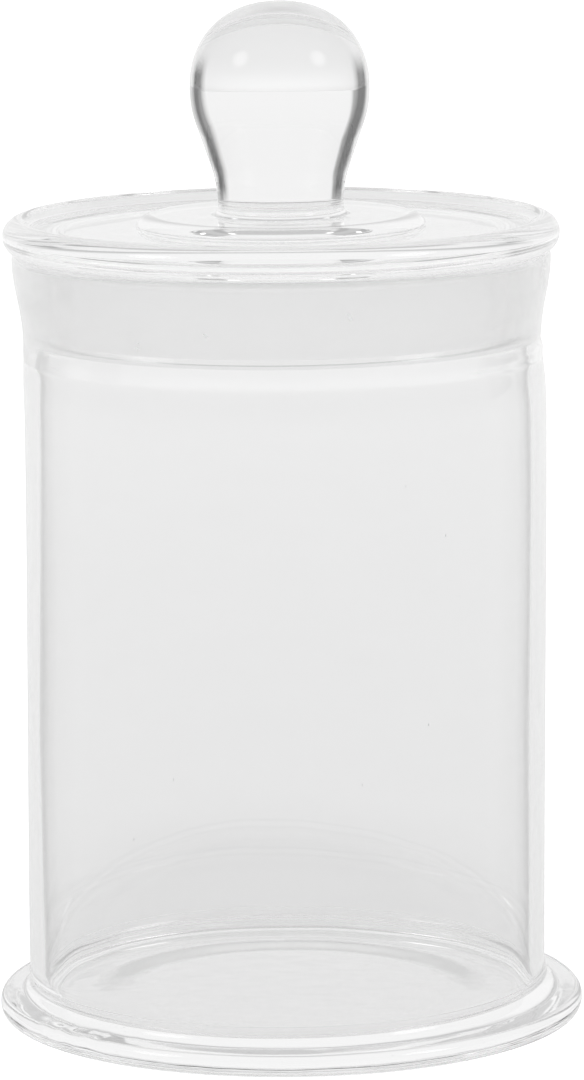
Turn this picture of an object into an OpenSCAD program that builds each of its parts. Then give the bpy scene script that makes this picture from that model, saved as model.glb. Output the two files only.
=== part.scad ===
// Specimen jar with a ground-glass stopper lid.
// Millimetres, +Z up. The origin is the centre of the circle that the foot stands on.
// Every piece is turned about Z, so each one is an outline of [radius, height] points.

/* [Body] */
// Outer diameter of the cylindrical wall
body_d = 100; // [80:1:130]
// Thickness of the cylindrical wall
wall = 2.9; // [2.4:0.1:3.6]
// Height of the mouth's rim above the table
rim_z = 148; // [110:0.1:200]
// Height of the floor that the specimen stands on
floor_z = 4.6; // [4.4:0.1:8]
// Radius of the corner between the floor and the wall
floor_fillet = 1.9; // [1:0.1:6]

/* [Mouth] */
// How far the waist under the mouth is drawn in, on the radius
waist_draw = 0.45; // [0:0.05:0.8]
// How far the rim flares beyond the wall, on the radius
mouth_flare = 1.45; // [0.8:0.05:2.4]
// Thickness of the glass at the rim
rim_wall = 2.5; // [2.2:0.1:3.2]
// Height of the ground seat below the rim
seat_h = 16.5; // [12:0.1:20]
// How far the seat's lower end stands in from the wall's inner face
seat_step = 0.5; // [0.3:0.1:2]

/* [Foot] */
// How far the foot reaches beyond the wall, on the radius
foot_reach = 6.5; // [4:0.1:9]
// Thickness of the foot's rounded edge
foot_edge_h = 4.2; // [3:0.1:4.4]
// Radius of the hollow under the foot
hollow_r = 38; // [20:1:38]
// Depth of the hollow under the foot
hollow_h = 0.5; // [0.3:0.1:1.2]

/* [Lid] */
// How far the flange overhangs the mouth, on the radius
flange_reach = 1.7; // [1:0.1:3]
// Height of the flange's bead, from its widest circle to its crest
bead_rise = 3.3; // [2:0.1:4.5]
// How far the plate lies below the bead's crest
plate_drop = 1.9; // [0.5:0.1:2.5]
// Thickness of the plate
plate_t = 3; // [2.2:0.1:3.6]
// Thickness of the hollow skirt
skirt_wall = 3; // [2.2:0.1:3.6]

/* [Knob] */
// Diameter of the flat button of glass under the knob
boss_d = 55.2; // [44:0.1:64]
// Thickness of that button
boss_h = 2.3; // [1.5:0.1:4]
// Diameter of the knob at its widest
ball_d = 34.3; // [30:0.1:40]
// Height of the knob's crown above its widest circle
crown_h = 16.6; // [14:0.1:20]
// How square the crown is: 2 is round, and more is squarer
crown_square = 2.2; // [2:0.1:2.6]
// Diameter of the knob's neck
neck_d = 24; // [18:0.1:26]
// Height of the knob above the button
knob_h = 40.4; // [36:0.1:46]

/* [Fit] */
// Gap between the two ground cones, on the radius
cone_gap = 0.15; // [0.1:0.01:0.3]
// Gap between the rim and the flange that stands over it
rim_gap = 0.25; // [0.2:0.05:0.5]

/* [Hidden] */
$fn = 96;
fine = 16;      // steps along a long round stretch
coarse = 8;     // steps along a short one

body_r = body_d / 2;
bore_r = body_r - wall;

// The mouth is a collar sealed to the wall at the waist, where its ground seat begins.
waist_z = rim_z - seat_h;
shoulder_z = waist_z - 11;
lip_r = 1.2;
lip_in_r = 0.5;
mouth_r = body_r + mouth_flare;
waist_r = body_r - waist_draw;
seat_top_r = mouth_r - rim_wall;
seat_low_r = bore_r - seat_step;
seat_run_h = 5; // height over which the seat's lower end runs out into the bore

// The foot: a disc with a rounded edge, which the body is sealed into up to a fillet.
foot_r = body_r + foot_reach;
foot_edge_w = 1.4;
foot_slope = 0.4;
body_base_z = 2.6;
seal_w = 2.2;
seal_h = 3.6;
seal_land = 0.2;

// The lid's cone follows the seat's, one gap inside it.
flange_z = rim_z + rim_gap;
cone_slope = (seat_top_r - seat_low_r) / seat_h;
tip_z = waist_z + 0.4;
tip_r = skirt_wall / 2;
cone_low_z = tip_z + tip_r;
cone_low_r = seat_low_r + cone_slope * (cone_low_z - waist_z) - cone_gap;
cone_top_r = seat_top_r + cone_slope * rim_gap - cone_gap;

// The flange's bead: an ellipse that is flatter above its widest circle than below it.
bead_w = 3.2;
bead_low_h = 3.4;
bead_r = mouth_r + flange_reach - bead_w;
bead_start = 62; // angle below level at which the bead meets the flat underside
bead_z = flange_z + bead_low_h * sin(bead_start);
bead_inner_w = 3.4;
plate_z = bead_z + bead_rise - plate_drop;
plate_under_z = plate_z - plate_t;
cap_fillet = 4;
skirt_in_r = cone_top_r - skirt_wall - 1;

// The knob: a crown, a cheek, a straight taper and a concave neck, each tangent to the next.
boss_r = boss_d / 2;
boss_edge_w = 3.4;
knob_base_z = plate_z + boss_h;
ball_r = ball_d / 2;
ball_z = knob_base_z + knob_h - crown_h;
cheek_h = 18.4; // half-height of the ellipse below the widest circle
neck_r = neck_d / 2;
neck_z = knob_base_z + 1.8;
neck_flare = 1.4;
taper = 19; // angle of the straight taper from upright
cheek_end = atan(tan(taper) * cheek_h / ball_r);
taper_top = [ball_r * cos(cheek_end), ball_z - cheek_h * sin(cheek_end)];
neck_curve = (taper_top[1] - neck_z - (taper_top[0] - neck_r) / tan(taper))
    / (sin(taper) - (1 - cos(taper)) / tan(taper));

// Points along an ellipse about c with the half-widths r, from one angle to another.
function arc(c, r, from, to, steps = coarse) =
    [for (i = [0:steps]) let (a = from + (to - from) * i / steps) c + [r[0] * cos(a), r[1] * sin(a)]];

// Points of a smooth change of radius from one height to another.
function ease(r0, r1, z0, z1, steps = coarse) =
    [for (i = [0:steps]) [r0 + (r1 - r0) * (1 - cos(180 * i / steps)) / 2, z0 + (z1 - z0) * i / steps]];

// Points of a smooth change of height from one radius to another.
function swell(r0, r1, z0, z1, steps = coarse) =
    [for (i = [0:steps]) [r0 + (r1 - r0) * i / steps, z0 + (z1 - z0) * (1 - cos(180 * i / steps)) / 2]];

// The vessel: a floor and a straight wall that is drawn in to the waist.
module jar_body() {
    outside = concat([[0, body_base_z], [body_r, body_base_z]], ease(body_r, waist_r, shoulder_z, waist_z));
    inside = concat(
        ease(seat_low_r, bore_r, waist_z, waist_z - seat_run_h),
        arc([bore_r - floor_fillet, floor_z + floor_fillet], [floor_fillet, floor_fillet], 0, -90),
        [[0, floor_z]]);
    color("lightcyan", 0.5) rotate_extrude() polygon(concat(outside, inside));
}

// The mouth: a flared collar with a rounded lip, and the ground seat as a cone inside it.
module jar_mouth() {
    outside = concat(
        ease(waist_r, mouth_r, waist_z, rim_z - lip_r),
        arc([mouth_r - lip_r, rim_z - lip_r], [lip_r, lip_r], 0, 90));
    inside = concat(
        arc([seat_top_r + lip_in_r, rim_z - lip_in_r], [lip_in_r, lip_in_r], 90, 180),
        [[seat_low_r, waist_z]]);
    color("azure", 0.5) rotate_extrude() polygon(concat(outside, inside));
}

// The foot: a hollowed underside, a round edge and the fillet that seals it to the body.
module jar_foot() {
    edge_c = [foot_r - foot_edge_w, foot_edge_h / 2];
    seal_c = [body_r + seal_land + seal_w, foot_edge_h + foot_slope + seal_h];
    outline = concat(
        [[0, hollow_h]],
        swell(hollow_r - 8, hollow_r + 2, hollow_h, 0),
        arc(edge_c, [foot_edge_w, foot_edge_h / 2], -90, 90, fine),
        arc(seal_c, [seal_w, seal_h], 270, 180),
        [[body_r, foot_edge_h + foot_slope + seal_h], [body_r, body_base_z], [0, body_base_z]]);
    color("lightblue", 0.5) rotate_extrude() polygon(outline);
}

// The stopper: a plate with a beaded flange over the rim and a hollow ground skirt in the seat.
module lid_cap() {
    skirt = concat(
        arc([skirt_in_r - cap_fillet, plate_under_z - cap_fillet], [cap_fillet, cap_fillet], 90, 0),
        arc([cone_low_r - tip_r, cone_low_z], [tip_r, tip_r], -180, 0),
        [[cone_top_r, flange_z]]);
    bead = concat(
        arc([bead_r, bead_z], [bead_w, bead_low_h], -bead_start, 0),
        arc([bead_r, bead_z], [bead_w, bead_rise], 0, 90),
        swell(bead_r, bead_r - bead_inner_w, bead_z + bead_rise, plate_z));
    outline = concat([[0, plate_under_z]], skirt, bead, [[0, plate_z]]);
    color("lightcyan", 0.5) rotate_extrude() polygon(outline);
}

// The button of glass that seals the knob to the plate.
module lid_boss() {
    side = arc([boss_r - boss_edge_w, plate_z], [boss_edge_w, boss_h], 0, 90);
    color("lightblue", 0.5) rotate_extrude() polygon(concat([[0, plate_z]], side, [[0, knob_base_z]]));
}

// The solid knob: flared foot, neck, taper, cheek and crown.
module lid_knob() {
    flare_c = [neck_r + neck_flare, knob_base_z + neck_flare];
    crown = [for (i = [0:fine * 2])
        let (a = 90 * i / (fine * 2))
        [ball_r * pow(cos(a), 2 / crown_square), ball_z + crown_h * pow(sin(a), 2 / crown_square)]];
    outline = concat(
        [[0, knob_base_z]],
        arc(flare_c, [neck_flare, neck_flare], 270, 180),
        arc([neck_r + neck_curve, neck_z], [neck_curve, neck_curve], 180, 180 - taper),
        arc([0, ball_z], [ball_r, cheek_h], -cheek_end, 0),
        crown);
    color("lightcyan", 0.5) rotate_extrude() polygon(outline);
}

jar_body();
jar_mouth();
jar_foot();
lid_cap();
lid_boss();
lid_knob();
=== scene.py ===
import math
import random

import bpy
from mathutils import Matrix, Vector, noise


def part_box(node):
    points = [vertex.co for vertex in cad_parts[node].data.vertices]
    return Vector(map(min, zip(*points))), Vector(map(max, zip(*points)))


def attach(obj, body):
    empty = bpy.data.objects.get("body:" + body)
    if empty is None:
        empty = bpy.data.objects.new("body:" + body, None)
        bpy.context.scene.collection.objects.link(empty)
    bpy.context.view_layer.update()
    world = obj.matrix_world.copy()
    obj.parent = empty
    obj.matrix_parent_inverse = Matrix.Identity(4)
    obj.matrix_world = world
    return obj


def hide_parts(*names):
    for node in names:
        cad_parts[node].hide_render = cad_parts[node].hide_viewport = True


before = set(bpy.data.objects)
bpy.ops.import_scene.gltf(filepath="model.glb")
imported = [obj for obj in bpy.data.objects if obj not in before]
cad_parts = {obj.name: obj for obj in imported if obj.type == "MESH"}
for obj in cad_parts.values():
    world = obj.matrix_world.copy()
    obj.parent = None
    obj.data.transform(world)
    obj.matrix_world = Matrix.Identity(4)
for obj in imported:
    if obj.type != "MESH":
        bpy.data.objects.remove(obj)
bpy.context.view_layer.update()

# Specimen jar: a glass jar on a wide foot, and its ground-glass stopper lid with a solid knob.
# Every piece is turned about Z from an outline of (radius, height) points, in metres, and then
# settled a little out of true, as hand-worked glass is. Pieces that are fused to each other share
# the circle where they meet and have no face there, so light passes between them as in one glass.

MM = 0.001
TURN = 2 * math.pi
TOUCH = 1e-6  # points nearer than this are one point

# ---------------------------------------------------------------- sizes, from the frame

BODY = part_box("jar_body")
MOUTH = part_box("jar_mouth")
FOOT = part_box("jar_foot")
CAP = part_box("lid_cap")
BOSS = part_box("lid_boss")
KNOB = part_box("lid_knob")

# The body: a straight wall that is drawn in to the waist, and a floor.
WALL = 2.9 * MM
WAIST_DRAW = 0.45 * MM
SHOULDER_H = 11 * MM
BODY_R = BODY[1].x
BORE_R = BODY_R - WALL
WAIST_Z = MOUTH[0].z
WAIST_R = BODY_R - WAIST_DRAW
SHOULDER_Z = WAIST_Z - SHOULDER_H
FLOOR_Z = 4.6 * MM
FLOOR_FILLET = 1.9 * MM

# The mouth: a flared collar with a rounded lip, and the ground seat inside it.
RIM_WALL = 2.5 * MM
SEAT_STEP = 0.5 * MM
SEAT_RUN_H = 5 * MM
LIP_R = 1.2 * MM
LIP_IN_R = 0.5 * MM
RIM_Z = MOUTH[1].z
MOUTH_R = MOUTH[1].x
SEAT_TOP_R = MOUTH_R - RIM_WALL
SEAT_LOW_R = BORE_R - SEAT_STEP

# The foot: a disc with a round edge, a hollow under it, and the fillet that seals it to the body.
FOOT_R = FOOT[1].x
SEAL_TOP_Z = FOOT[1].z
SEAL_W = 2.2 * MM
SEAL_H = 3.6 * MM
SEAL_LAND = 0.2 * MM
EDGE_W = 1.4 * MM
EDGE_H = 4.2 * MM
HOLLOW_R = 38 * MM
HOLLOW_H = 0.5 * MM
HOLLOW_IN = 8 * MM
HOLLOW_OUT = 2 * MM

# The stopper: a plate, the flange's bead, and a hollow skirt whose outer face is the ground cone.
PLATE_T = 3 * MM
BEAD_W = 3.2 * MM
BEAD_RISE = 3.3 * MM
BEAD_LOW_H = 3.4 * MM
BEAD_START = 62  # degrees below level where the bead meets the flat underside
BEAD_INNER_W = 3.4 * MM
SKIRT_WALL = 3 * MM
SKIRT_LEAN = 1 * MM
CONE_GAP = 0.15 * MM
CAP_FILLET = 4 * MM
PLATE_Z = BOSS[0].z
PLATE_UNDER_Z = PLATE_Z - PLATE_T
CREST_Z = CAP[1].z
BEAD_R = CAP[1].x - BEAD_W
BEAD_Z = CREST_Z - BEAD_RISE
FLANGE_Z = BEAD_Z - BEAD_LOW_H * math.sin(math.radians(BEAD_START))
TIP_R = SKIRT_WALL / 2
TIP_Z = CAP[0].z
CONE_SLOPE = (SEAT_TOP_R - SEAT_LOW_R) / (RIM_Z - WAIST_Z)
CONE_LOW_R = SEAT_LOW_R + CONE_SLOPE * (TIP_Z + TIP_R - WAIST_Z) - CONE_GAP
CONE_TOP_R = SEAT_TOP_R + CONE_SLOPE * (FLANGE_Z - RIM_Z) - CONE_GAP
SKIRT_IN_R = CONE_TOP_R - SKIRT_WALL - SKIRT_LEAN

# The button and the knob.
BOSS_EDGE_W = 3.4 * MM
CROWN_H = 16.6 * MM
CROWN_SQUARE = 2.2  # 2 is a round crown, and more is squarer
CROWN_STEPS = 90
CHEEK_H = 18.4 * MM
NECK_R = 12 * MM
NECK_RISE = 1.8 * MM
NECK_FLARE = 1.4 * MM
TAPER = math.radians(19)
BOSS_R = BOSS[1].x
KNOB_BASE_Z = KNOB[0].z
KNOB_TOP_Z = KNOB[1].z
BALL_R = KNOB[1].x
BALL_Z = KNOB_TOP_Z - CROWN_H
NECK_Z = KNOB_BASE_Z + NECK_RISE

SEGMENTS = 320

# ---------------------------------------------------------------- outlines


def arc(c, r, start, end, step=0.35 * MM):
    """Points along an ellipse about c with half-widths r, from one angle to another, in degrees."""
    start, end = math.radians(start), math.radians(end)
    count = max(4, round(abs(end - start) * max(r) / step))
    angles = (start + (end - start) * i / count for i in range(count + 1))
    return [(c[0] + r[0] * math.cos(a), c[1] + r[1] * math.sin(a)) for a in angles]


def straight(p, q, step=2.0 * MM):
    count = max(1, round(math.dist(p, q) / step))
    shares = (i / count for i in range(count + 1))
    return [(p[0] + (q[0] - p[0]) * t, p[1] + (q[1] - p[1]) * t) for t in shares]


def ease(p, q, along, step=0.4 * MM):
    """A smooth change from p to q. along is the coordinate, 0 or 1, that goes evenly."""
    count = max(6, round(math.dist(p, q) / step))
    points = []
    for i in range(count + 1):
        even = i / count
        eased = (1 - math.cos(math.pi * even)) / 2
        u, v = (even, eased) if along == 0 else (eased, even)
        points.append((p[0] + (q[0] - p[0]) * u, p[1] + (q[1] - p[1]) * v))
    return points


def chain(*runs):
    """The runs end to end, without the points that repeat."""
    points = [runs[0][0]]
    for run in runs:
        points += [p for p in run if math.dist(p, points[-1]) > TOUCH]
    return points


def body_outlines():
    """The outer wall from the foot's fillet to the waist, the bore, and the floor with its corner."""
    outer = chain(
        straight((BODY_R, SEAL_TOP_Z), (BODY_R, SHOULDER_Z)),
        ease((BODY_R, SHOULDER_Z), (WAIST_R, WAIST_Z), 1))
    centre = (BORE_R - FLOOR_FILLET, FLOOR_Z + FLOOR_FILLET)
    corner = arc(centre, (FLOOR_FILLET, FLOOR_FILLET), 0, -90, step=0.2 * MM)
    bore = chain(
        ease((SEAT_LOW_R, WAIST_Z), (BORE_R, WAIST_Z - SEAT_RUN_H), 1),
        straight((BORE_R, WAIST_Z - SEAT_RUN_H), corner[0]))
    floor = chain(corner, straight(corner[-1], (0, FLOOR_Z)))
    return outer, bore, floor


def mouth_outlines():
    """The clear outside up over the lip, and the ground seat."""
    lip = arc((MOUTH_R - LIP_R, RIM_Z - LIP_R), (LIP_R, LIP_R), 0, 90, step=0.15 * MM)
    lip_in_c = (SEAT_TOP_R + LIP_IN_R, RIM_Z - LIP_IN_R)
    lip_in = arc(lip_in_c, (LIP_IN_R, LIP_IN_R), 90, 180, step=0.1 * MM)
    outer = chain(ease((WAIST_R, WAIST_Z), lip[0], 1), lip, lip_in)
    seat = straight(lip_in[-1], (SEAT_LOW_R, WAIST_Z), step=0.8 * MM)
    return outer, seat


def foot_outline():
    """The hollowed underside, the round edge, the gentle slope and the fillet up to the body."""
    hollow = chain(
        straight((0, HOLLOW_H), (HOLLOW_R - HOLLOW_IN, HOLLOW_H)),
        ease((HOLLOW_R - HOLLOW_IN, HOLLOW_H), (HOLLOW_R + HOLLOW_OUT, 0), 0))
    edge = arc((FOOT_R - EDGE_W, EDGE_H / 2), (EDGE_W, EDGE_H / 2), -90, 90, step=0.15 * MM)
    seal_c = (BODY_R + SEAL_LAND + SEAL_W, SEAL_TOP_Z)
    seal = arc(seal_c, (SEAL_W, SEAL_H), 270, 180, step=0.15 * MM)
    return chain(
        hollow,
        straight(hollow[-1], edge[0]),
        edge,
        straight(edge[-1], seal[0], step=0.6 * MM),
        seal,
        [(BODY_R, SEAL_TOP_Z)])


def cap_outlines():
    """The hollow underside, the ground cone, and the flange's bead in to the edge of the button."""
    corner_c = (SKIRT_IN_R - CAP_FILLET, PLATE_UNDER_Z - CAP_FILLET)
    corner = arc(corner_c, (CAP_FILLET, CAP_FILLET), 90, 0, step=0.3 * MM)
    tip = arc((CONE_LOW_R - TIP_R, TIP_Z + TIP_R), (TIP_R, TIP_R), -180, 0, step=0.12 * MM)
    under = chain(straight((0, PLATE_UNDER_Z), corner[0]), corner, straight(corner[-1], tip[0]), tip)
    cone = straight(tip[-1], (CONE_TOP_R, FLANGE_Z), step=0.8 * MM)
    low = arc((BEAD_R, BEAD_Z), (BEAD_W, BEAD_LOW_H), -BEAD_START, 0, step=0.15 * MM)
    high = arc((BEAD_R, BEAD_Z), (BEAD_W, BEAD_RISE), 0, 90, step=0.15 * MM)
    inward = ease((BEAD_R, CREST_Z), (BEAD_R - BEAD_INNER_W, PLATE_Z), 0, step=0.2 * MM)
    bead = chain(
        straight(cone[-1], low[0], step=0.4 * MM),
        low,
        high,
        inward,
        straight(inward[-1], (BOSS_R, PLATE_Z)))
    return under, cone, bead


def boss_outline():
    side_r = (BOSS_EDGE_W, KNOB_BASE_Z - PLATE_Z)
    side = arc((BOSS_R - BOSS_EDGE_W, PLATE_Z), side_r, 0, 90, step=0.15 * MM)
    return chain(side, straight(side[-1], (NECK_R + NECK_FLARE, KNOB_BASE_Z), step=0.8 * MM))


def knob_outline():
    """Flare, neck, straight taper, cheek and crown, each tangent to the next."""
    cheek_end = math.atan(math.tan(TAPER) * CHEEK_H / BALL_R)
    top = (BALL_R * math.cos(cheek_end), BALL_Z - CHEEK_H * math.sin(cheek_end))
    rise = top[1] - NECK_Z - (top[0] - NECK_R) / math.tan(TAPER)
    curve = rise / (math.sin(TAPER) - (1 - math.cos(TAPER)) / math.tan(TAPER))
    flare_c = (NECK_R + NECK_FLARE, KNOB_BASE_Z + NECK_FLARE)
    flare = arc(flare_c, (NECK_FLARE, NECK_FLARE), 270, 180, step=0.12 * MM)
    neck_end = 180 - math.degrees(TAPER)
    neck = arc((NECK_R + curve, NECK_Z), (curve, curve), 180, neck_end, step=0.3 * MM)
    cheek = arc((0, BALL_Z), (BALL_R, CHEEK_H), -math.degrees(cheek_end), 0, step=0.3 * MM)
    crown = []
    power = 2 / CROWN_SQUARE
    for i in range(CROWN_STEPS):
        a = math.pi / 2 * i / CROWN_STEPS
        crown.append((BALL_R * math.cos(a) ** power, BALL_Z + CROWN_H * math.sin(a) ** power))
    crown.append((0, KNOB_TOP_Z))
    taper = straight(neck[-1], top, step=0.6 * MM)
    return chain(flare, straight(flare[-1], neck[0]), neck, taper, cheek, crown)


# ---------------------------------------------------------------- hand-worked glass

# Heights, and how far the glass stands aside in X there: the pieces aren't quite on one axis.
LEAN = ((3 * MM, 0.0), (9 * MM, -0.75 * MM), (116 * MM, -0.05 * MM), (134 * MM, -0.6 * MM))

# Slow and quick waves of the wall: how deep they are outside and inside.
SLOW_WAVE = (0.05 * MM, 0.10 * MM)
QUICK_WAVE = (0.012 * MM, 0.03 * MM)
INSIDE_SHIFT = 7.3

# The fold under the collar, the groove above it, and the side that they are strongest on.
FOLD_Z = WAIST_Z - 2.2 * MM
GROOVE_Z = FOLD_Z + 2 * MM
FOLD_DEPTH = 0.16 * MM
FOLD_SIDE = math.radians(-12)

# What the tools left on the foot: streaks, slow waves, and the knots of one rough patch.
STREAK = 0.10 * MM
SWELL = 0.05 * MM
KNOT = 0.4 * MM
UNDER_SWELL = 0.015 * MM
PATCH = (-0.70 * FOOT_R, -0.62 * FOOT_R)
PATCH_SIZE = 9 * MM


def fade(value, start, end):
    """Goes smoothly from 0 to 1 as the value goes from start to end."""
    t = min(1, max(0, (value - start) / (end - start)))
    return t * t * (3 - 2 * t)


def wander(p, sizes, shift=(0, 0, 0)):
    """Smooth noise of about -1 to 1. sizes are its scale along X, Y and Z, in millimetres."""
    return noise.noise(Vector([c / (size * MM) + s for c, size, s in zip(p, sizes, shift)]))


def lean(z):
    """How far the glass stands aside in X at a height."""
    for (z0, x0), (z1, x1) in zip(LEAN, LEAN[1:]):
        if z < z1:
            return x0 + (x1 - x0) * fade(z, z0, z1)
    return LEAN[-1][1]


def wall_waves(p, inside):
    """Waves of the wall and foot, in metres outward. The ground cones have none."""
    z = p[2]
    shift = INSIDE_SHIFT if inside else 0.0
    slow = wander(p, (26, 26, 60), (shift, 0, 0))
    quick = wander(p, (9, 9, 30), (0, shift, 0))
    swell = slow * SLOW_WAVE[inside] + quick * QUICK_WAVE[inside]
    below_mouth = 1 - fade(z, WAIST_Z - 12 * MM, WAIST_Z - 4 * MM)
    return swell * below_mouth * fade(z, FLOOR_Z, FLOOR_Z + 4 * MM)


def seam_folds(p):
    """Folds where the mouth's collar is sealed on, strongest on one side."""
    x, y, z = p
    side = 0.25 + max(0.0, math.cos(math.atan2(y, x) - FOLD_SIDE)) ** 6
    fold = math.exp(-((z - FOLD_Z) / (0.9 * MM)) ** 2)
    groove = math.exp(-((z - GROOVE_Z) / (0.8 * MM)) ** 2)
    return FOLD_DEPTH * side * (fold - 0.7 * groove)


def foot_tooling(p, r):
    """How far the tools moved the foot's glass up: streaks on its top and edge, and a rough patch."""
    x, y, z = p
    around = BODY_R / max(r, MM)
    streak = wander((x * around, y * around, r + z), (13, 13, 1.3))
    swell = wander((x, y, 0), (7, 7, 7), (0, 0, 3.1))
    knots = wander(p, (2.6, 2.6, 2.6), (0, 0, 5.7))
    from_patch = math.dist((x, y), PATCH)
    patch = math.exp(-from_patch ** 2 / (2 * PATCH_SIZE ** 2))
    outside = fade(r, BODY_R - 0.2 * MM, BODY_R + 1.5 * MM) * fade(z, 1 * MM, 2.5 * MM)
    in_hollow = fade(z, 0.2 * MM, 0.5 * MM) * (1 - fade(z, 1 * MM, 2 * MM))
    under = in_hollow * (1 - fade(r, HOLLOW_R - 12 * MM, HOLLOW_R))
    top = STREAK * streak + SWELL * swell + KNOT * knots * patch
    return top * outside + UNDER_SWELL * swell * under


def settled(p, inside):
    """Where a point of the true outline ends up in hand-worked glass."""
    x, y, z = p
    r = math.hypot(x, y)
    if r > TOUCH and z < WAIST_Z + 4 * MM:
        swell = wall_waves(p, inside)
        if not inside:
            swell += seam_folds(p)
        x, y = x * (r + swell) / r, y * (r + swell) / r
    if z < SEAL_TOP_Z and not inside:
        z += foot_tooling(p, r)
    return x + lean(z), y, z


# ---------------------------------------------------------------- meshes


def mesh_object(name, verts, faces, slots=None):
    mesh = bpy.data.meshes.new(name)
    mesh.from_pydata(verts, [], faces)
    if slots:
        mesh.polygons.foreach_set("material_index", slots)
    mesh.polygons.foreach_set("use_smooth", [True] * len(faces))
    mesh.update()
    obj = bpy.data.objects.new(name, mesh)
    bpy.context.scene.collection.objects.link(obj)
    return obj


def add_ring(verts, r, z, inside):
    """Adds one ring of points, or one point on the axis, and gives their indices."""
    first = len(verts)
    if r < TOUCH:
        verts.append(settled((0, 0, z), inside))
        return [first]
    for k in range(SEGMENTS):
        a = TURN * k / SEGMENTS
        verts.append(settled((r * math.cos(a), r * math.sin(a), z), inside))
    return list(range(first, len(verts)))


def band(ring, following):
    """The faces between two rings, either of which may be one point on the axis."""
    faces = []
    for k in range(SEGMENTS):
        n = (k + 1) % SEGMENTS
        if len(ring) == 1:
            faces.append((ring[0], following[n], following[k]))
        elif len(following) == 1:
            faces.append((ring[k], ring[n], following[0]))
        else:
            faces.append((ring[k], ring[n], following[n], following[k]))
    return faces


def turned(name, outlines, insides=None):
    """One mesh turned from outlines, each with its own material index.

    An outline that starts where the last one ended goes on from the same ring.
    """
    insides = insides or [False] * len(outlines)
    verts, faces, slots = [], [], []
    ring, point = None, None
    for index, (outline, inside) in enumerate(zip(outlines, insides)):
        if ring is None or math.dist(point, outline[0]) > TOUCH:
            ring = add_ring(verts, *outline[0], inside)
        for point in outline[1:]:
            following = add_ring(verts, *point, inside)
            strip = band(ring, following)
            faces += strip
            slots += [index] * len(strip)
            ring = following
    return mesh_object(name, verts, faces, slots)


def seeds(name, places):
    """Tiny bubbles caught in the glass. Their faces look inward, out of the glass and into the air."""
    verts, faces = [], []
    rings, sides = 5, 8
    for (x, y, z), size, stretch in places:
        base = len(verts)
        for i in range(rings + 1):
            tilt = math.pi * i / rings
            width = size * math.sin(tilt)
            level = z + size * stretch * math.cos(tilt)
            for k in range(sides):
                a = TURN * k / sides
                verts.append((x + width * math.cos(a), y + width * math.sin(a), level))
        for i in range(rings):
            for k in range(sides):
                n = (k + 1) % sides
                a, b = base + i * sides, base + (i + 1) * sides
                faces.append((a + k, a + n, b + n, b + k))
    return mesh_object(name, verts, faces)


def seed_places():
    """Most of the bubbles lie in the floor's glass, and a few in the wall."""
    picker = random.Random(7)
    places = []
    for _ in range(34):
        a = picker.uniform(0, TURN)
        r = (BORE_R - 3 * MM) * math.sqrt(picker.random())
        place = (r * math.cos(a) + lean(FLOOR_Z), r * math.sin(a), picker.uniform(1.6, 3.8) * MM)
        places.append((place, picker.uniform(0.08, 0.2) * MM, 1.0))
    for _ in range(16):
        a = picker.uniform(0, TURN)
        z = picker.uniform(12, 120) * MM
        r = BODY_R - WALL / 2
        place = (r * math.cos(a) + lean(z), r * math.sin(a), z)
        places.append((place, picker.uniform(0.06, 0.12) * MM, picker.uniform(1.0, 3.0)))
    return places


# ---------------------------------------------------------------- node helpers


def new_tree(owner):
    owner.use_nodes = True
    owner.node_tree.nodes.clear()
    return owner.node_tree


def add(tree, kind, **settings):
    """A new node. A setting that names one of its inputs is that input's value."""
    node = tree.nodes.new(kind)
    for key, value in settings.items():
        if key in node.inputs:
            node.inputs[key].default_value = value
        else:
            setattr(node, key, value)
    return node


def calc(tree, operation, a, b=None):
    """A Math node. Each of a and b is a number or another node's output."""
    node = add(tree, "ShaderNodeMath", operation=operation)
    for socket, value in zip(node.inputs, (a, b)):
        if isinstance(value, (int, float)):
            socket.default_value = value
        elif value is not None:
            tree.links.new(value, socket)
    return node.outputs[0]


def spread(tree, source, start, end, low=0.0, high=1.0, kind="SMOOTHSTEP"):
    """Goes from low to high as the source goes from start to end."""
    node = add(tree, "ShaderNodeMapRange", interpolation_type=kind)
    for socket, value in zip(("From Min", "From Max", "To Min", "To Max"), (start, end, low, high)):
        node.inputs[socket].default_value = value
    tree.links.new(source, node.inputs["Value"])
    return node.outputs["Result"]


def grain(tree, place, size, detail, roughness=0.5):
    """Smooth noise at a size, over the object's own space."""
    node = add(tree, "ShaderNodeTexNoise", Scale=1 / size, Detail=detail, Roughness=roughness)
    tree.links.new(place.outputs["Object"], node.inputs["Vector"])
    return node.outputs["Fac"]


def bump(tree, height, depth, below=None):
    """A Bump node of a depth, over the one below it."""
    node = add(tree, "ShaderNodeBump", Strength=1.0, Distance=depth)
    tree.links.new(height, node.inputs["Height"])
    if below is not None:
        tree.links.new(below, node.inputs["Normal"])
    return node.outputs["Normal"]


def mixed(tree, share, first, second):
    """The first shader, and the second where the share is 1."""
    node = add(tree, "ShaderNodeMixShader")
    for socket, source in zip(node.inputs, (share, first, second)):
        tree.links.new(source, socket)
    return node.outputs["Shader"]


def use_surface(tree, kind, surface):
    tree.links.new(surface, add(tree, kind).inputs["Surface"])


# ---------------------------------------------------------------- materials

DEEPEST = 4  # light that has met this many faces goes straight on
# The dark limb is painted shade: a darker tint at the glass's edges for the dark surroundings seen there.
LIMB_FACES = 3  # the dark limb shows only on the first faces that light meets
LIMB_FADE = 5 * MM


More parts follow.
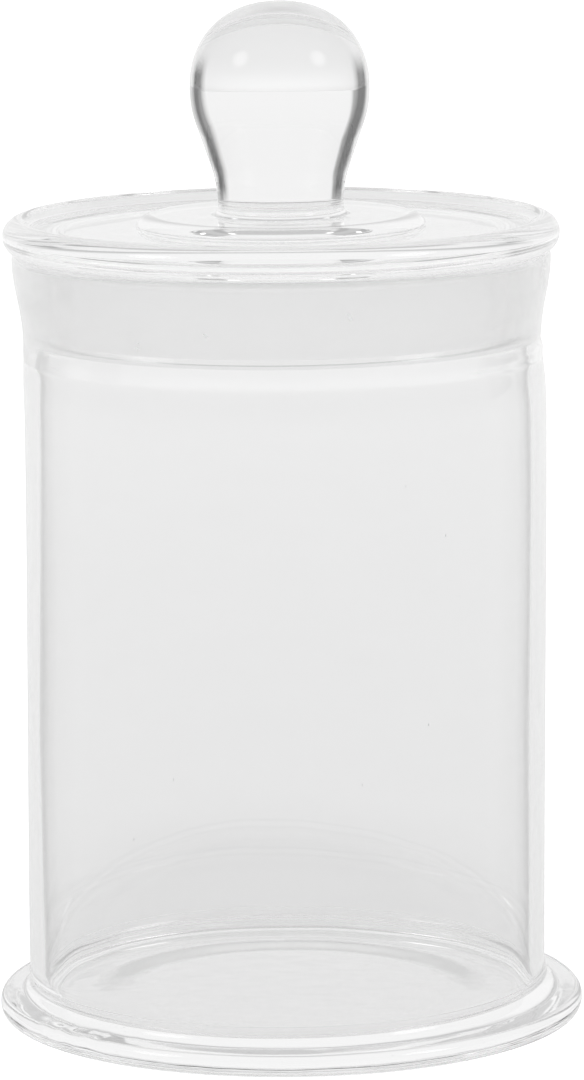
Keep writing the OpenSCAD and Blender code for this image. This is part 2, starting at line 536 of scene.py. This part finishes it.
def painted_limb_shade(tree, place, path, tint, limb, span):
    """The tint, darker where the glass turns away, between the two heights of the span if given. The
    darkening is painted shade, for the dark surroundings seen at the glass's edges.
    """
    facing = add(tree, "ShaderNodeLayerWeight")
    ramp = add(tree, "ShaderNodeValToRGB")
    stops = ramp.color_ramp.elements
    between = [stops.new(0.5) for _ in limb[2:]]
    for stop, (position, share) in zip([stops[0], *between, stops[-1]], limb):
        stop.position = position
        stop.color = (*(share * c for c in tint), 1)
    tree.links.new(facing.outputs["Facing"], ramp.inputs["Fac"])
    share = calc(tree, "LESS_THAN", path.outputs["Ray Depth"], LIMB_FACES - 0.5)
    if span:
        split = add(tree, "ShaderNodeSeparateXYZ")
        tree.links.new(place.outputs["Object"], split.inputs["Vector"])
        low, high = span
        for level, full in ((low, low + LIMB_FADE), (high, high - LIMB_FADE)):
            share = calc(tree, "MULTIPLY", share, spread(tree, split.outputs["Z"], level, full))
    pick = add(tree, "ShaderNodeMix", data_type="RGBA")
    plain, dark = (socket for socket in pick.inputs if socket.type == "RGBA")
    plain.default_value = (*tint, 1)
    tree.links.new(share, pick.inputs["Factor"])
    tree.links.new(ramp.outputs["Color"], dark)
    return next(socket for socket in pick.outputs if socket.type == "RGBA")


def glass(name, tint, lamp_tint, wave_size, wave_depth, grain_depth=0.0, rough=(0.0, 0.03),
          limb=None, span=None, deepest=DEEPEST):
    """Glass with slow waves and handling marks, or ground glass where rough is high.

    Light from lamps goes straight through and keeps lamp_tint of itself, so the light inside and
    under the jar is smooth. Light that has met many faces goes straight on too, and isn't lost
    inside the thick parts. A limb is pairs of how far the glass turns away, and the tint's share:
    painted shade, darker where the glass turns away, for the dark surroundings seen at its edges.
    """
    mat = bpy.data.materials.new(name)
    tree = new_tree(mat)
    link = tree.links.new
    place = add(tree, "ShaderNodeTexCoord")
    path = add(tree, "ShaderNodeLightPath")
    shader = add(tree, "ShaderNodeBsdfPrincipled", IOR=1.5)
    shader.inputs["Transmission Weight"].default_value = 1.0
    shader.inputs["Base Color"].default_value = (*tint, 1)
    if limb:
        link(painted_limb_shade(tree, place, path, tint, limb, span), shader.inputs["Base Color"])
    normal = bump(tree, grain(tree, place, wave_size, 2.0, 0.45), wave_depth)
    if grain_depth:
        normal = bump(tree, grain(tree, place, 0.35 * MM, 3.0, 0.7), grain_depth, normal)
    link(normal, shader.inputs["Normal"])
    marks = grain(tree, place, 14 * MM, 5.0, 0.6)
    link(spread(tree, marks, 0.52, 0.75, *rough, "LINEAR"), shader.inputs["Roughness"])
    clear = add(tree, "ShaderNodeBsdfTransparent", Color=(1, 1, 1, 1))
    veil = add(tree, "ShaderNodeBsdfTransparent", Color=(*lamp_tint, 1))
    deep = calc(tree, "GREATER_THAN", path.outputs["Ray Depth"], deepest - 0.5)
    seen = mixed(tree, deep, shader.outputs["BSDF"], clear.outputs["BSDF"])
    lamps = calc(tree, "MAXIMUM", path.outputs["Is Shadow Ray"], path.outputs["Is Diffuse Ray"])
    use_surface(tree, "ShaderNodeOutputMaterial", mixed(tree, lamps, seen, veil.outputs["BSDF"]))
    return mat


FLOOR_LIFT = 0.4
FLOOR_WHITE = (0.94, 0.96)
MOTTLE_SIZE = 1 / 30


def floor_material():
    """Matt white with a faint mottle. Where the camera sees it directly it is lifted to pure white."""
    mat = bpy.data.materials.new("floor_white")
    tree = new_tree(mat)
    place = add(tree, "ShaderNodeTexCoord")
    path = add(tree, "ShaderNodeLightPath")
    matt = add(tree, "ShaderNodeBsdfDiffuse")
    mottle = grain(tree, place, MOTTLE_SIZE, 3.0)
    tree.links.new(spread(tree, mottle, 0, 1, *FLOOR_WHITE, "LINEAR"), matt.inputs["Color"])
    glow = add(tree, "ShaderNodeEmission", Strength=FLOOR_LIFT)
    lifted = add(tree, "ShaderNodeAddShader")
    tree.links.new(matt.outputs["BSDF"], lifted.inputs[0])
    tree.links.new(glow.outputs["Emission"], lifted.inputs[1])
    surface = mixed(tree, path.outputs["Is Camera Ray"], matt.outputs["BSDF"], lifted.outputs["Shader"])
    use_surface(tree, "ShaderNodeOutputMaterial", surface)
    return mat


CLEAR_TINT = (0.974, 0.974, 0.974)
GROUND_TINT = (0.87, 0.87, 0.87)
CLEAR_VEIL = (0.9, 0.9, 0.9)
GROUND_VEIL = (0.92, 0.92, 0.92)
LID_VEIL = (0.94, 0.94, 0.94)
NO_VEIL = (1, 1, 1)
# Painted shade: the dark line at the inner wall and the dark crescents low on the knob are a darker tint
# where the glass turns away, for the dark surroundings seen there.
BORE_PAINTED_SHADE = ((0.5, 1.0), (0.66, 0.9), (0.76, 0.6), (0.84, 0.03))
KNOB_PAINTED_SHADE = ((0.42, 1.0), (0.52, 0.12), (0.66, 0.03), (0.78, 1.0))
KNOB_SHADE_SPAN = (KNOB_BASE_Z + 1 * MM, BALL_Z + 8 * MM)

CLEAR = glass("clear_glass", CLEAR_TINT, CLEAR_VEIL, 30 * MM, 0.03 * MM)
BORE = glass("bore_glass", CLEAR_TINT, NO_VEIL, 30 * MM, 0.03 * MM, limb=BORE_PAINTED_SHADE)
POURED = glass("poured_glass", CLEAR_TINT, NO_VEIL, 12 * MM, 0.06 * MM, deepest=DEEPEST + 1)
PRESSED = glass("pressed_glass", CLEAR_TINT, NO_VEIL, 12 * MM, 0.06 * MM, deepest=DEEPEST + 2)
SOLID = glass("solid_glass", CLEAR_TINT, LID_VEIL, 18 * MM, 0.02 * MM)
KNOB_GLASS = glass("knob_glass", CLEAR_TINT, LID_VEIL, 18 * MM, 0.02 * MM, limb=KNOB_PAINTED_SHADE, span=KNOB_SHADE_SPAN)
GROUND = glass("ground_glass", GROUND_TINT, GROUND_VEIL, 10 * MM, 0.02 * MM,
               grain_depth=0.02 * MM, rough=(0.2, 0.32))

# ---------------------------------------------------------------- the pieces


def piece(obj, body, slot, materials, *nodes):
    for mat in materials:
        obj.data.materials.append(mat)
    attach(obj, body)
    if nodes:
        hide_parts(*nodes)


def make_jar():
    wall = turned("jar_body_glass", body_outlines(), [False, True, True])
    piece(wall, "jar", "jar_glass", [CLEAR, BORE, POURED], "jar_body")
    collar = turned("jar_mouth_glass", mouth_outlines(), [False, True])
    piece(collar, "jar", "mouth_glass", [CLEAR, GROUND], "jar_mouth")
    foot = turned("jar_foot_glass", [foot_outline()])
    piece(foot, "jar", "foot_glass", [PRESSED], "jar_foot")


def make_lid():
    cap = turned("lid_cap_glass", cap_outlines(), [True, True, False])
    piece(cap, "lid", "lid_glass", [CLEAR, GROUND, CLEAR], "lid_cap")
    boss = turned("lid_boss_glass", [boss_outline()])
    piece(boss, "lid", "lid_glass", [SOLID], "lid_boss")
    knob = turned("lid_knob_glass", [knob_outline()])
    piece(knob, "lid", "knob_glass", [KNOB_GLASS], "lid_knob")


make_jar()
make_lid()
piece(seeds("jar_glass_seeds", seed_places()), "jar", "jar_glass", [CLEAR])

# ---------------------------------------------------------------- camera and floor

CAMERA_DISTANCE = 1.1259
CAMERA_HEIGHT = 0.28373
CAMERA_SIDE = 0.00094
CAMERA_PITCH = math.radians(9.675)
CAMERA_ROLL = 0.0096
LENS = 198.1

FLOOR_REACH = 2.6
FLOOR_DROP = 0.05 * MM


def make_camera():
    data = bpy.data.cameras.new("camera")
    data.lens = LENS
    data.sensor_width = 36
    data.clip_end = 50
    cam = bpy.data.objects.new("camera", data)
    bpy.context.scene.collection.objects.link(cam)
    tilt = Matrix.Rotation(math.pi / 2 - CAMERA_PITCH, 4, "X")
    roll = Matrix.Rotation(-CAMERA_ROLL, 4, "Z")
    place = Matrix.Translation((CAMERA_SIDE, -CAMERA_DISTANCE, CAMERA_HEIGHT))
    cam.matrix_world = place @ tilt @ roll
    bpy.context.scene.camera = cam


def make_floor():
    corners = [(x * FLOOR_REACH, y * FLOOR_REACH, 0) for x, y in ((-1, -1), (1, -1), (1, 1), (-1, 1))]
    floor = mesh_object("floor", corners, [(0, 1, 2, 3)])
    floor.location.z = -FLOOR_DROP
    floor.data.materials.append(floor_material())


# ---------------------------------------------------------------- light

KEY_TURN = math.radians(178)  # clockwise from +Y
KEY_RISE = math.radians(54)
KEY_WIDTH = math.radians(16)
KEY_POWER = 0.74

BACK_LIGHT_PLACE = (0, 1.6, 0.9)
BACK_LIGHT_SIZE = (2.4, 1.2)
BACK_LIGHT_POWER = 3


def place_lamp(data):
    """A lamp that lights the floor but doesn't show in the glass."""
    lamp = bpy.data.objects.new(data.name, data)
    lamp.visible_glossy = False
    lamp.visible_transmission = False
    bpy.context.scene.collection.objects.link(lamp)
    return lamp


def make_key():
    """Soft light from the front and above, which leaves a soft grey zone behind the jar."""
    data = bpy.data.lights.new("key", "SUN")
    data.energy = KEY_POWER
    data.angle = KEY_WIDTH
    level = math.cos(KEY_RISE)
    toward = Vector((math.sin(KEY_TURN) * level, math.cos(KEY_TURN) * level, math.sin(KEY_RISE)))
    place_lamp(data).rotation_euler = (-toward).to_track_quat("-Z", "Y").to_euler()


def make_back_light():
    """A wide lamp over the far floor, which makes it lighter away from the jar."""
    data = bpy.data.lights.new("back_light", "AREA")
    data.shape = "RECTANGLE"
    data.size, data.size_y = BACK_LIGHT_SIZE
    data.energy = BACK_LIGHT_POWER
    place_lamp(data).location = BACK_LIGHT_PLACE


BACK_LEVEL = 0.94
BACK_TURN = 6  # the middle of the light back, in degrees clockwise from +Y
BACK_EDGES = (45, 54)
BACK_TOP = (0.55, 0.9)
FRONT_LEVEL = 0.8
FRONT_EDGES = (64, 76)
FRONT_TOP = (0.1, 0.4)
FRONT_FALL = 0.6
OVER_LEVEL = 0.6
OVER_START = (0.4, 0.75)
LEAST_LEVEL = 0.45
GLOW = 2.2
GLOW_DIRECTION = (0.73, -0.42, 0.54)
GLOW_EDGE = (0.975, 1.0)
CAMERA_WHITE = 1.06


def make_world():
    """Light behind, dimmer at each side, and light in front near the floor but greyer above.

    A soft glow stands at each side in front. The camera itself sees plain white.
    """
    world = bpy.data.worlds.new("studio")
    tree = new_tree(world)
    place = add(tree, "ShaderNodeTexCoord")
    split = add(tree, "ShaderNodeSeparateXYZ")
    tree.links.new(place.outputs["Generated"], split.inputs["Vector"])
    x, y, z = (split.outputs[axis] for axis in "XYZ")

    from_back = calc(tree, "SUBTRACT", calc(tree, "ARCTAN2", x, y), math.radians(BACK_TURN))
    aside = calc(tree, "ABSOLUTE", from_back)
    back = spread(tree, aside, *map(math.radians, BACK_EDGES), BACK_LEVEL, 0.0)
    back = calc(tree, "MULTIPLY", back, spread(tree, z, *BACK_TOP, 1.0, 0.0))
    front = spread(tree, aside, *map(math.radians, FRONT_EDGES), 0.0, FRONT_LEVEL)
    front = calc(tree, "MULTIPLY", front, spread(tree, z, *FRONT_TOP, 1.0, FRONT_FALL))
    over = spread(tree, z, *OVER_START, 0.0, OVER_LEVEL)
    level = calc(tree, "MAXIMUM", calc(tree, "MAXIMUM", back, front), over)
    level = calc(tree, "MAXIMUM", level, LEAST_LEVEL)

    toward = 0.0
    for part, axis in zip(GLOW_DIRECTION, (calc(tree, "ABSOLUTE", x), y, z)):
        toward = calc(tree, "ADD", toward, calc(tree, "MULTIPLY", axis, part))
    level = calc(tree, "ADD", level, spread(tree, toward, *GLOW_EDGE, 0.0, GLOW))

    studio = add(tree, "ShaderNodeBackground")
    tree.links.new(level, studio.inputs["Color"])
    white = add(tree, "ShaderNodeBackground", Color=(1, 1, 1, 1), Strength=CAMERA_WHITE)
    path = add(tree, "ShaderNodeLightPath")
    sky = mixed(tree, path.outputs["Is Camera Ray"], studio.outputs[0], white.outputs[0])
    use_surface(tree, "ShaderNodeOutputWorld", sky)
    bpy.context.scene.world = world


make_camera()
make_floor()
make_key()
make_back_light()
make_world()
bpy.context.scene.view_settings.view_transform = "Standard"
